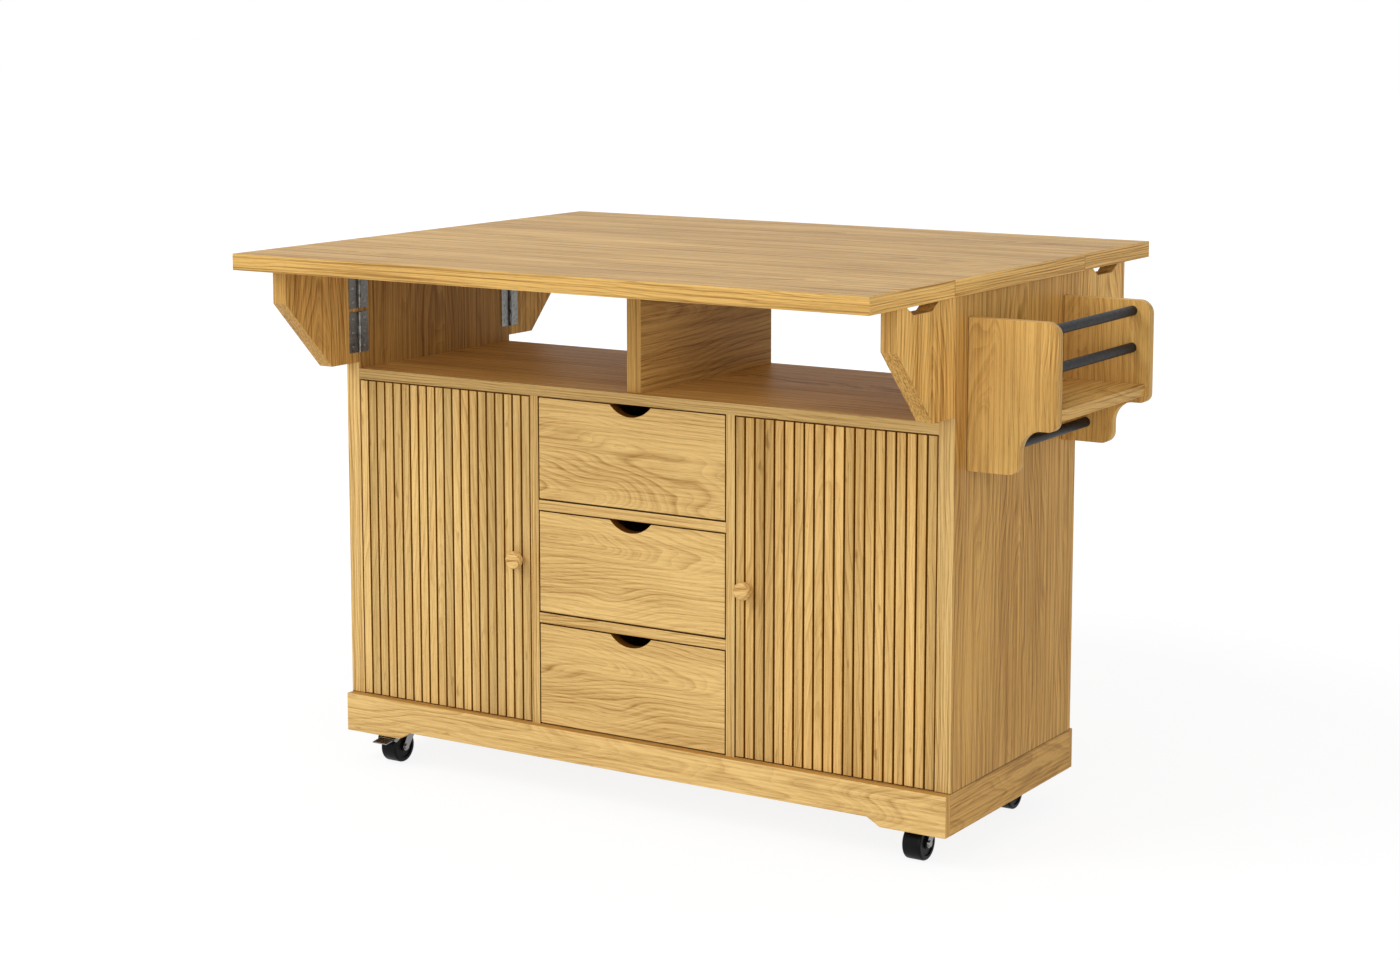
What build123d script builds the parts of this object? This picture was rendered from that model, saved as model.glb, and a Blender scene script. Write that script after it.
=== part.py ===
from build123d import *
import os

os.makedirs("parts", exist_ok=True)

# Worktop
overall_height = 914.0  # floor to the top of the worktop
top_thickness = 27.0
top_width = 1178.0
centre_depth = 465.0  # fixed middle board, front to back
leaf_depth = 264.0  # each drop leaf
leaf_seam = 1.5  # gap between a leaf and the middle board
edge_radius = 1.0  # eased edges of the worktop boards

# Cabinet
cabinet_width = 1168.0
cabinet_depth = 436.0
side_thickness = 27.0
compartment_height = 192.5  # open space under the worktop
shelf_thickness = 18.0
bottom_thickness = 18.0
divider_thickness = 16.0
back_thickness = 9.0
drawer_opening = 364.0  # between the two upright dividers
rail_height = 17.0
rail_depth = 60.0
centre_divider_inset = 12.0  # its set-back from the front and back faces

# Plinth
plinth_height = 66.0
plinth_skirt = 20.5  # how far it hangs below the caster boards
plinth_front_thickness = 15.0
plinth_back_thickness = 10.0
plinth_side_thickness = 15.0
plinth_foot = 114.0  # length of each foot along the lower edge
plinth_slope = 23.0  # run of the slope beside a foot
plinth_rise = 13.0  # how far the lower edge is raised between the feet
caster_board_width = 150.0
caster_board_thickness = 18.0

# Doors and drawers
front_gap = 2.0  # reveal round each door and drawer front
slat_count = 20
slat_groove = 2.5
slat_thickness = 5.0
door_board_thickness = 13.0
pivot_radius = 3.0
pivot_clearance = 0.05
pivot_from_edge = 24.0
pivot_from_front = 9.0
pivot_seat = 10.0  # length of pin held in the cabinet
pivot_reach = 10.0  # length of pin inside the door
pivot_end_space = 2.0
knob_radius = 14.5
knob_neck_radius = 7.0
knob_neck = 8.0
knob_head = 15.0
knob_round = 4.5
knob_from_edge = 22.0
drawer_count = 3
drawer_front_thickness = 18.0
finger_width = 78.0  # chord of the half-moon cut-out
finger_depth = 18.0
drawer_board = 12.0
drawer_floor = 6.0
drawer_box_height = 118.0
drawer_box_lift = 18.0  # underside of the box above the front's lower edge
drawer_back_space = 50.0  # free space behind a closed drawer
glue_line = 0.1
runner_space = 13.0  # between a drawer box and a divider
runner_height = 35.0
runner_sheet = 1.5
runner_flange = 9.0
runner_play = 0.5
runner_inset = 20.0  # front end of the fixed runner behind the cabinet face

# Cupboard shelves
cupboard_shelf_thickness = 15.0
cupboard_shelf_play = 1.0
cupboard_shelf_inset = 48.0  # front edge behind the cabinet face
shelf_pin_radius = 2.5
shelf_pin_seat = 8.0
shelf_pin_reach = 8.0
shelf_pin_inset = 60.0  # pins from the shelf's front and back edges

# Leaf brackets
bracket_reach = 188.0
bracket_end = 63.0  # height of the upright outer end
bracket_foot = 72.0  # length of the lower edge
bracket_seam = 1.5
bracket_top_gap = 0.5
bracket_foot_gap = 11.0
notch_start = 58.0  # finger notch, from the cabinet face
notch_width = 100.0
notch_slope = 21.0
notch_depth = 13.0

# Butt hinges
hinge_sheet = 1.5
knuckle_radius = 3.0
hinge_pin_radius = 1.5
hinge_pin_clearance = 0.05
knuckle_gap = 0.4  # between a knuckle and the board beside it
knuckle_end_gap = 0.3
bracket_hinge_length = 70.0
bracket_hinge_wing = 25.0
bracket_hinge_space = 6.0  # between the two hinges of a bracket
leaf_hinge_length = 60.0
leaf_hinge_wing = 23.0
leaf_hinge_pitch = 300.0
hinge_relief = 3.0  # room that the compartment's divider leaves round a leaf hinge

# Casters
wheel_diameter = 55.0
wheel_width = 32.0
wheel_round = 4.0
wheel_side_gap = 1.0
wheel_dish_depth = 2.0
wheel_dish_inner = 9.0
wheel_dish_outer = 20.0
axle_radius = 3.0
axle_clearance = 0.05
axle_head_radius = 5.0
axle_head = 2.5
fork_sheet = 2.0
fork_eye_radius = 7.0
fork_crown_gap = 7.0
fork_crown_thickness = 3.0
fork_crown_half = 17.0
fork_leg_half = 11.0  # half the length of a leg where it leaves the crown
race_radius = 17.0
race_height = 9.0
race_gap = 0.5
king_pin_radius = 4.0
king_pin_clearance = 0.05
king_head_radius = 7.0
king_head = 2.0
caster_plate_side = 60.0
caster_plate_thickness = 2.5
caster_trail = 26.0  # the axle stands this far towards the front
caster_inset_x = 71.0  # swivel axis from the cabinet's side face
caster_inset_y = 60.0  # swivel axis from the front and back faces
brake_pivot_y = 27.0  # in front of the axle
brake_pivot_z = 18.0  # above the axle
brake_pin_radius = 1.5
brake_barrel_radius = 3.0
brake_lobe_radius = 4.0
brake_arm = 8.0  # length of a brake arm where it leaves the crown
brake_side_gap = 2.0
pedal_length = 24.0
pedal_drop = 3.0
pedal_thickness = 2.0

# Spice rack and towel bar on the right side
rack_reach = 149.0
rack_drop = 34.5  # top of the rack below the worktop
rack_height = 234.0
rack_inset = 38.5  # cheeks from the front and back faces
cheek_thickness = 16.0
cheek_tray_height = 164.0  # full-depth part of a cheek
cheek_tail_reach = 88.0
cheek_top_round = 22.0
cheek_low_round = 15.0
cheek_cove = 35.0
cheek_tail_round = 19.0
rack_shelf_drop = 133.5  # top of the rack's shelf below the rack's top
rack_shelf_thickness = 18.0
rack_shelf_setback = 6.0
rod_radius = 8.0
rod_seat = 8.0
rail_from_edge = 30.0
rail_drops = (17.0, 76.0)
bar_reach = 42.0
bar_drop = 202.0

# Places worked out from the sizes above
top_underside = overall_height - top_thickness
crown_z = wheel_diameter + fork_crown_gap
race_top = crown_z + fork_crown_thickness + race_height
caster_height = race_top + race_gap + caster_plate_thickness
plinth_z = caster_height - plinth_skirt
base_z = plinth_z + plinth_height
shelf_top = top_underside - compartment_height
shelf_z = shelf_top - shelf_thickness
opening_height = shelf_z - base_z
half_width = cabinet_width / 2
half_depth = cabinet_depth / 2
inner_half = half_width - side_thickness
drawer_half = drawer_opening / 2
divider_outer = drawer_half + divider_thickness
cabinet_x = -(rack_reach - (top_width - cabinet_width) / 2) / 2
knuckle_offset = knuckle_radius + knuckle_gap
hinge_bore_radius = hinge_pin_radius + hinge_pin_clearance
sides = (("left", -1), ("right", 1))
ends = (("front", -1), ("back", 1))

# Seats of the door pivots and of the cupboard shelves
pivot_x = inner_half - front_gap - pivot_from_edge
pivot_y = -half_depth + pivot_from_front
pivot_places = [(cabinet_x - pivot_x, pivot_y), (cabinet_x + pivot_x, pivot_y)]
cupboard_shelf_z = base_z + (opening_height - cupboard_shelf_thickness) / 2
cupboard_shelf_front = -half_depth + cupboard_shelf_inset
cupboard_shelf_back = half_depth - back_thickness - cupboard_shelf_play
shelf_pin_z = cupboard_shelf_z - shelf_pin_radius
shelf_pin_ys = (cupboard_shelf_front + shelf_pin_inset, cupboard_shelf_back - shelf_pin_inset)

# Rods of the rack, as offsets from the cabinet's side and heights
rack_top = top_underside - rack_drop
rack_inner_half = half_depth - rack_inset - cheek_thickness
side_face_x = cabinet_x + half_width
rod_places = [(side_face_x + rack_reach - rail_from_edge, 0, rack_top - drop) for drop in rail_drops]
rod_places.append((side_face_x + bar_reach, 0, rack_top - bar_drop))

LOW = (Align.CENTER, Align.CENTER, Align.MIN)
ALONG_Y = (90, 0, 0)
ALONG_X = (0, 90, 0)

# Side panels, with blind holes for the shelf pins
for side, sx in sides:
    with BuildPart() as side_panel:
        with Locations((cabinet_x + sx * (half_width - side_thickness / 2), 0, base_z)):
            Box(side_thickness, cabinet_depth, top_underside - base_z, align=LOW)
        with Locations([(cabinet_x + sx * inner_half, y, shelf_pin_z) for y in shelf_pin_ys]):
            Cylinder(shelf_pin_radius, 2 * shelf_pin_seat, rotation=ALONG_X, mode=Mode.SUBTRACT)
    side_panel.part.label = f"side_{side}"
    export_step(side_panel.part, f"parts/side_{side}.step")

# Floor of the cupboards, inside the plinth, with seats for the lower pivot pins
with BuildPart() as bottom_panel:
    with Locations((cabinet_x, 0, base_z - bottom_thickness)):
        Box(cabinet_width - 2 * plinth_side_thickness, cabinet_depth, bottom_thickness, align=LOW)
    with Locations([(x, y, base_z - pivot_seat) for x, y in pivot_places]):
        Cylinder(pivot_radius, pivot_seat, align=LOW, mode=Mode.SUBTRACT)
bottom_panel.part.label = "bottom_panel"
export_step(bottom_panel.part, "parts/bottom_panel.step")

# Shelf over the cupboards, the floor of the open compartment
with BuildPart() as shelf_board:
    with Locations((cabinet_x, 0, shelf_z)):
        Box(2 * inner_half, cabinet_depth, shelf_thickness, align=LOW)
    with Locations([(x, y, shelf_z) for x, y in pivot_places]):
        Cylinder(pivot_radius, pivot_seat, align=LOW, mode=Mode.SUBTRACT)
shelf_board.part.label = "shelf_board"
export_step(shelf_board.part, "parts/shelf_board.step")

# Upright dividers between the cupboards and the drawers
divider_x = drawer_half + divider_thickness / 2
with BuildPart() as dividers:
    for side, sx in sides:
        with Locations((cabinet_x + sx * divider_x, -back_thickness / 2, base_z)):
            Box(divider_thickness, cabinet_depth - back_thickness, opening_height, align=LOW)
        with Locations([(cabinet_x + sx * divider_outer, y, shelf_pin_z) for y in shelf_pin_ys]):
            Cylinder(shelf_pin_radius, 2 * shelf_pin_seat, rotation=ALONG_X, mode=Mode.SUBTRACT)
dividers.part.label = "dividers"
export_step(dividers.part, "parts/dividers.step")

# Rails between the drawers
drawer_height = (
    opening_height - (drawer_count - 1) * rail_height - 2 * drawer_count * front_gap
) / drawer_count
drawer_pitch = drawer_height + 2 * front_gap + rail_height
drawer_zs = [base_z + front_gap + number * drawer_pitch for number in range(drawer_count)]
with BuildPart() as drawer_rails:
    for z in drawer_zs[1:]:
        with Locations((cabinet_x, -half_depth + rail_depth / 2, z - front_gap - rail_height)):
            Box(drawer_opening, rail_depth, rail_height, align=LOW)
drawer_rails.part.label = "drawer_rails"
export_step(drawer_rails.part, "parts/drawer_rails.step")

# Back of the cupboards and drawers
with BuildPart() as back_panel:
    with Locations((cabinet_x, half_depth - back_thickness / 2, base_z)):
        Box(2 * inner_half, back_thickness, opening_height, align=LOW)
back_panel.part.label = "back_panel"
export_step(back_panel.part, "parts/back_panel.step")

# Middle divider of the open compartment, relieved wherever it would meet a leaf hinge
leaf_pin_y = centre_depth / 2 + leaf_seam / 2
relief_height = knuckle_offset + knuckle_radius + hinge_relief
relief_length = 2 * (leaf_hinge_wing + hinge_relief)
with BuildPart() as centre_divider:
    with Locations((cabinet_x, 0, shelf_top)):
        Box(side_thickness, cabinet_depth - 2 * centre_divider_inset, compartment_height, align=LOW)
    with Locations([(cabinet_x, sy * leaf_pin_y, top_underside - relief_height) for end, sy in ends]):
        Box(side_thickness, relief_length, relief_height, align=LOW, mode=Mode.SUBTRACT)
centre_divider.part.label = "centre_divider"
export_step(centre_divider.part, "parts/centre_divider.step")

# Plinth rails, with a foot at each end of the lower edge
foot_x = half_width - plinth_foot
raised_x = foot_x - plinth_slope
raised_z = plinth_z + plinth_rise
with BuildPart() as plinth_rails:
    for sy, thickness in ((-1, plinth_front_thickness), (1, plinth_back_thickness)):
        with BuildSketch(Plane.XZ.offset(-sy * half_depth)):
            with BuildLine():
                Polyline(
                    (cabinet_x - half_width, base_z),
                    (cabinet_x - half_width, plinth_z),
                    (cabinet_x - foot_x, plinth_z),
                    (cabinet_x - raised_x, raised_z),
                    (cabinet_x + raised_x, raised_z),
                    (cabinet_x + foot_x, plinth_z),
                    (cabinet_x + half_width, plinth_z),
                    (cabinet_x + half_width, base_z),
                    close=True,
                )
            make_face()
        extrude(amount=-sy * thickness)
plinth_rails.part.label = "plinth_rails"
export_step(plinth_rails.part, "parts/plinth_rails.step")

# Plinth ends
with BuildPart() as plinth_sides:
    for side, sx in sides:
        with Locations((cabinet_x + sx * (half_width - plinth_side_thickness / 2), 0, plinth_z)):
            Box(plinth_side_thickness, cabinet_depth, plinth_height, align=LOW)
plinth_sides.part.label = "plinth_sides"
export_step(plinth_sides.part, "parts/plinth_sides.step")

# Boards inside the plinth that carry the casters
caster_board_x = half_width - plinth_side_thickness - caster_board_width / 2
with BuildPart() as caster_boards:
    for side, sx in sides:
        with Locations((cabinet_x + sx * caster_board_x, 0, caster_height)):
            Box(caster_board_width, cabinet_depth, caster_board_thickness, align=LOW)
caster_boards.part.label = "caster_boards"
export_step(caster_boards.part, "parts/caster_boards.step")

# Worktop: fixed middle board and two drop leaves
with BuildPart() as top_centre:
    with Locations((cabinet_x, 0, top_underside)):
        Box(top_width, centre_depth, top_thickness, align=LOW)
    fillet(top_centre.edges(), edge_radius)
top_centre.part.label = "top_centre"
export_step(top_centre.part, "parts/top_centre.step")

leaf_y = centre_depth / 2 + leaf_seam + leaf_depth / 2
for end, sy in ends:
    with BuildPart() as leaf:
        with Locations((cabinet_x, sy * leaf_y, top_underside)):
            Box(top_width, leaf_depth, top_thickness, align=LOW)
        fillet(leaf.edges(), edge_radius)
    leaf.part.label = f"leaf_{end}"
    export_step(leaf.part, f"parts/leaf_{end}.step")

# Hinges under the two seams of the worktop: three knuckles along X, the middle one on the leaf
leaf_hinge_xs = [cabinet_x + step * leaf_hinge_pitch for step in (-1, 0, 1)]
leaf_pin_z = top_underside - knuckle_offset
leaf_knuckle = leaf_hinge_length / 3
leaf_plate_z = top_underside - hinge_sheet
leaf_plate_width = leaf_hinge_wing - knuckle_offset
with BuildPart() as leaf_hinges_fixed:
    for end, sy in ends:
        for x in leaf_hinge_xs:
            with Locations((x, sy * (leaf_pin_y - knuckle_offset - leaf_plate_width / 2), leaf_plate_z)):
                Box(leaf_hinge_length, leaf_plate_width, hinge_sheet, align=LOW)
            with Locations((x - leaf_knuckle, 0, 0), (x + leaf_knuckle, 0, 0)):
                with Locations((0, sy * (leaf_pin_y - knuckle_offset / 2), leaf_plate_z)):
                    Box(leaf_knuckle, knuckle_offset, hinge_sheet, align=LOW)
                with Locations((0, sy * leaf_pin_y, leaf_pin_z)):
                    Cylinder(knuckle_radius, leaf_knuckle, rotation=ALONG_X)
            with Locations((x, sy * leaf_pin_y, leaf_pin_z)):
                Cylinder(hinge_pin_radius, leaf_hinge_length, rotation=ALONG_X)
leaf_hinges_fixed.part.label = "leaf_hinges_fixed"
export_step(leaf_hinges_fixed.part, "parts/leaf_hinges_fixed.step")

for end, sy in ends:
    with BuildPart() as leaf_hinges:
        for x in leaf_hinge_xs:
            with Locations((x, sy * (leaf_pin_y + knuckle_offset + leaf_plate_width / 2), leaf_plate_z)):
                Box(leaf_hinge_length, leaf_plate_width, hinge_sheet, align=LOW)
            with Locations((x, sy * (leaf_pin_y + knuckle_offset / 2), leaf_plate_z)):
                Box(leaf_knuckle - 2 * knuckle_end_gap, knuckle_offset, hinge_sheet, align=LOW)
            with Locations((x, sy * leaf_pin_y, leaf_pin_z)):
                Cylinder(knuckle_radius, leaf_knuckle - 2 * knuckle_end_gap, rotation=ALONG_X)
                Cylinder(hinge_bore_radius, leaf_hinge_length, rotation=ALONG_X, mode=Mode.SUBTRACT)
    leaf_hinges.part.label = f"leaf_hinges_{end}"
    export_step(leaf_hinges.part, f"parts/leaf_hinges_{end}.step")

# Swing-out brackets under the leaves, with a finger notch in the top edge
bracket_top = top_underside - bracket_top_gap
bracket_low = shelf_top + bracket_foot_gap
notch_end = notch_start + notch_width
bracket_outline = (
    (bracket_seam, bracket_low),
    (bracket_foot, bracket_low),
    (bracket_reach, bracket_top - bracket_end),
    (bracket_reach, bracket_top),
    (notch_end, bracket_top),
    (notch_end - notch_slope, bracket_top - notch_depth),
    (notch_start + notch_slope, bracket_top - notch_depth),
    (notch_start, bracket_top),
    (bracket_seam, bracket_top),
)
for end, sy in ends:
    for side, sx in sides:
        with BuildPart() as bracket:
            with BuildSketch(Plane.YZ.offset(cabinet_x + sx * inner_half)):
                with BuildLine():
                    Polyline(*[(sy * (half_depth + out), z) for out, z in bracket_outline], close=True)
                make_face()
            extrude(amount=sx * side_thickness)
        bracket.part.label = f"bracket_{end}_{side}"
        export_step(bracket.part, f"parts/bracket_{end}_{side}.step")

# Two butt hinges on the inner face of each bracket: three knuckles along Z, the middle one on the bracket
bracket_pin_x = inner_half - knuckle_offset
bracket_pin_y = half_depth + bracket_seam / 2
bracket_plate_x = inner_half - hinge_sheet / 2
bracket_plate_width = bracket_hinge_wing - knuckle_offset
bracket_knuckle = bracket_hinge_length / 3
hinge_stack = 2 * bracket_hinge_length + bracket_hinge_space
hinge_low = (bracket_low + bracket_top - hinge_stack) / 2
hinge_zs = (hinge_low, hinge_low + bracket_hinge_length + bracket_hinge_space)
with BuildPart() as bracket_hinges_fixed:
    for end, sy in ends:
        for side, sx in sides:
            plate_x = cabinet_x + sx * bracket_plate_x
            pin_x = cabinet_x + sx * bracket_pin_x
            for z in hinge_zs:
                plate_y = sy * (bracket_pin_y - knuckle_offset - bracket_plate_width / 2)
                with Locations((plate_x, plate_y, z)):
                    Box(hinge_sheet, bracket_plate_width, bracket_hinge_length, align=LOW)
                with Locations((0, 0, z), (0, 0, z + 2 * bracket_knuckle)):
                    with Locations((plate_x, sy * (bracket_pin_y - knuckle_offset / 2), 0)):
                        Box(hinge_sheet, knuckle_offset, bracket_knuckle, align=LOW)
                    with Locations((pin_x, sy * bracket_pin_y, 0)):
                        Cylinder(knuckle_radius, bracket_knuckle, align=LOW)
                with Locations((pin_x, sy * bracket_pin_y, z)):
                    Cylinder(hinge_pin_radius, bracket_hinge_length, align=LOW)
bracket_hinges_fixed.part.label = "bracket_hinges_fixed"
export_step(bracket_hinges_fixed.part, "parts/bracket_hinges_fixed.step")

middle_knuckle = bracket_knuckle - 2 * knuckle_end_gap
for end, sy in ends:
    for side, sx in sides:
        plate_x = cabinet_x + sx * bracket_plate_x
        pin_x = cabinet_x + sx * bracket_pin_x
        with BuildPart() as bracket_hinges:
            for z in hinge_zs:
                plate_y = sy * (bracket_pin_y + knuckle_offset + bracket_plate_width / 2)
                with Locations((plate_x, plate_y, z)):
                    Box(hinge_sheet, bracket_plate_width, bracket_hinge_length, align=LOW)
                with Locations((0, 0, z + bracket_knuckle + knuckle_end_gap)):
                    with Locations((plate_x, sy * (bracket_pin_y + knuckle_offset / 2), 0)):
                        Box(hinge_sheet, knuckle_offset, middle_knuckle, align=LOW)
                    with Locations((pin_x, sy * bracket_pin_y, 0)):
                        Cylinder(knuckle_radius, middle_knuckle, align=LOW)
                        Cylinder(hinge_bore_radius, middle_knuckle, align=LOW, mode=Mode.SUBTRACT)
        bracket_hinges.part.label = f"bracket_hinges_{end}_{side}"
        export_step(bracket_hinges.part, f"parts/bracket_hinges_{end}_{side}.step")

# Slatted doors on pivot pins, each a backing board with a row of slats and a turned knob
door_low = base_z + front_gap
door_height = opening_height - 2 * front_gap
door_width = inner_half - divider_outer - 2 * front_gap
door_x = (inner_half + divider_outer) / 2
door_middle = door_low + door_height / 2
door_board_y = -half_depth + slat_thickness + door_board_thickness / 2
slat_y = -half_depth + slat_thickness / 2
slat_width = (door_width - (slat_count - 1) * slat_groove) / slat_count
slat_pitch = slat_width + slat_groove
pivot_hole = pivot_reach + pivot_end_space
for (side, sx), (x, y) in zip(sides, pivot_places):
    with BuildPart() as door_board:
        with Locations((cabinet_x + sx * door_x, door_board_y, door_low)):
            Box(door_width, door_board_thickness, door_height, align=LOW)
        with Locations((x, y, door_low), (x, y, door_low + door_height - pivot_hole)):
            Cylinder(pivot_radius + pivot_clearance, pivot_hole, align=LOW, mode=Mode.SUBTRACT)
    door_board.part.label = f"door_{side}"
    export_step(door_board.part, f"parts/door_{side}.step")

    with BuildPart() as slats:
        with Locations((cabinet_x + sx * door_x, slat_y, door_middle)):
            with GridLocations(slat_pitch, 0, slat_count, 1):
                Box(slat_width, slat_thickness, door_height)
    slats.part.label = f"slats_{side}"
    export_step(slats.part, f"parts/slats_{side}.step")

    knob_x = cabinet_x + sx * (divider_outer + front_gap + knob_from_edge)
    with BuildPart() as knob:
        with Locations((knob_x, -half_depth - knob_neck / 2, door_middle)):
            Cylinder(knob_neck_radius, knob_neck, rotation=ALONG_Y)
        with Locations((knob_x, -half_depth - knob_neck - knob_head / 2, door_middle)):
            Cylinder(knob_radius, knob_head, rotation=ALONG_Y)
        fillet(knob.edges().filter_by(GeomType.CIRCLE).sort_by(SortBy.RADIUS)[-2:], knob_round)
    knob.part.label = f"knob_{side}"
    export_step(knob.part, f"parts/knob_{side}.step")

# Pivot pins of the doors, upper and lower
with BuildPart() as door_pins:
    with Locations([(x, y, base_z - pivot_seat) for x, y in pivot_places]):
        Cylinder(pivot_radius, pivot_seat + front_gap + pivot_reach, align=LOW)
    with Locations([(x, y, shelf_z - front_gap - pivot_reach) for x, y in pivot_places]):
        Cylinder(pivot_radius, pivot_seat + front_gap + pivot_reach, align=LOW)
door_pins.part.label = "door_pins"
export_step(door_pins.part, "parts/door_pins.step")

# Drawers: a front with a half-moon cut-out, an open box and a pair of runners
finger_radius = (finger_width**2 / 4 + finger_depth**2) / (2 * finger_depth)
box_front = -half_depth + drawer_front_thickness
box_back = half_depth - back_thickness - drawer_back_space
box_length = box_back - box_front
box_y = (box_front + box_back) / 2
box_half = drawer_half - runner_space
box_side_x = box_half - drawer_board / 2
box_inner = 2 * (box_half - drawer_board - glue_line)
floor_length = box_length - drawer_board - glue_line
runner_length = box_back - (-half_depth + runner_inset)
runner_x = drawer_half - runner_flange / 2
slide_x = box_half + runner_flange / 2
runner_lift = drawer_box_lift + drawer_box_height / 2
slide_half = runner_height / 2 - runner_sheet - runner_play
for number, z in enumerate(drawer_zs, start=1):
    with BuildPart() as drawer_front:
        with BuildSketch(Plane.XZ.offset(half_depth)):
            with Locations((cabinet_x, z + drawer_height / 2)):
                Rectangle(2 * (drawer_half - front_gap), drawer_height)
            with Locations((cabinet_x, z + drawer_height - finger_depth + finger_radius)):
                Circle(finger_radius, mode=Mode.SUBTRACT)
        extrude(amount=-drawer_front_thickness)
    drawer_front.part.label = f"drawer_front_{number}"
    export_step(drawer_front.part, f"parts/drawer_front_{number}.step")

    with BuildPart() as drawer_box:
        with Locations([(cabinet_x + sx * box_side_x, box_y, z + drawer_box_lift) for sx in (-1, 1)]):
            Box(drawer_board, box_length, drawer_box_height, align=LOW)
        with Locations((cabinet_x, box_back - drawer_board / 2, z + drawer_box_lift)):
            Box(box_inner, drawer_board, drawer_box_height, align=LOW)
        with Locations((cabinet_x, box_front + floor_length / 2, z + drawer_box_lift)):
            Box(box_inner, floor_length, drawer_floor, align=LOW)
    drawer_box.part.label = f"drawer_box_{number}"
    export_step(drawer_box.part, f"parts/drawer_box_{number}.step")

    with BuildPart() as drawer_slides:
        for sx in (-1, 1):
            with BuildSketch(Plane.XZ.offset(-box_back)):
                with Locations((cabinet_x + sx * slide_x, z + runner_lift)):
                    Rectangle(runner_flange, 2 * slide_half)
                with Locations((cabinet_x + sx * (slide_x + runner_sheet), z + runner_lift)):
                    Rectangle(runner_flange, 2 * (slide_half - runner_sheet), mode=Mode.SUBTRACT)
        extrude(amount=runner_length)
    drawer_slides.part.label = f"drawer_slides_{number}"
    export_step(drawer_slides.part, f"parts/drawer_slides_{number}.step")

# Fixed runners on the dividers
with BuildPart() as runners:
    for z in drawer_zs:
        for sx in (-1, 1):
            with BuildSketch(Plane.XZ.offset(-box_back)):
                with Locations((cabinet_x + sx * runner_x, z + runner_lift)):
                    Rectangle(runner_flange, runner_height)
                with Locations((cabinet_x + sx * (runner_x - runner_sheet), z + runner_lift)):
                    Rectangle(runner_flange, runner_height - 2 * runner_sheet, mode=Mode.SUBTRACT)
    extrude(amount=runner_length)
runners.part.label = "runners"
export_step(runners.part, "parts/runners.step")

# One loose shelf in each cupboard, on four pins
cupboard_shelf_width = inner_half - divider_outer - 2 * cupboard_shelf_play
cupboard_shelf_y = (cupboard_shelf_front + cupboard_shelf_back) / 2
with BuildPart() as cupboard_shelves:
    for side, sx in sides:
        with Locations((cabinet_x + sx * door_x, cupboard_shelf_y, cupboard_shelf_z)):
            Box(
                cupboard_shelf_width,
                cupboard_shelf_back - cupboard_shelf_front,
                cupboard_shelf_thickness,
                align=LOW,
            )
cupboard_shelves.part.label = "cupboard_shelves"
export_step(cupboard_shelves.part, "parts/cupboard_shelves.step")

shelf_pin_length = shelf_pin_seat + shelf_pin_reach
shelf_pin_middle = (shelf_pin_seat - shelf_pin_reach) / 2
with BuildPart() as shelf_pins:
    for sx in (-1, 1):
        outer_x = cabinet_x + sx * (inner_half + shelf_pin_middle)
        inner_x = cabinet_x + sx * (divider_outer - shelf_pin_middle)
        with Locations([(x, y, shelf_pin_z) for x in (outer_x, inner_x) for y in shelf_pin_ys]):
            Cylinder(shelf_pin_radius, shelf_pin_length, rotation=ALONG_X)
shelf_pins.part.label = "shelf_pins"
export_step(shelf_pins.part, "parts/shelf_pins.step")

# Casters: a plate with a king pin, a swivelling fork with its axle, and a wheel; two have a brake lever
caster_x = half_width - caster_inset_x
caster_y = half_depth - caster_inset_y
plate_low = caster_height - caster_plate_thickness
king_head_z = crown_z - race_gap - king_head
axle_z = wheel_diameter / 2
king_bore_radius = king_pin_radius + king_pin_clearance
leg_inner = wheel_width / 2 + wheel_side_gap
leg_outer = leg_inner + fork_sheet
with BuildPart() as caster_plates:
    for sx in (-1, 1):
        for sy in (-1, 1):
            with Locations((cabinet_x + sx * caster_x, sy * caster_y, plate_low)):
                Box(caster_plate_side, caster_plate_side, caster_plate_thickness, align=LOW)
            with Locations((cabinet_x + sx * caster_x, sy * caster_y, king_head_z)):
                Cylinder(king_pin_radius, plate_low - king_head_z, align=LOW)
                Cylinder(king_head_radius, king_head, align=LOW)
caster_plates.part.label = "caster_plates"
export_step(caster_plates.part, "parts/caster_plates.step")

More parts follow.
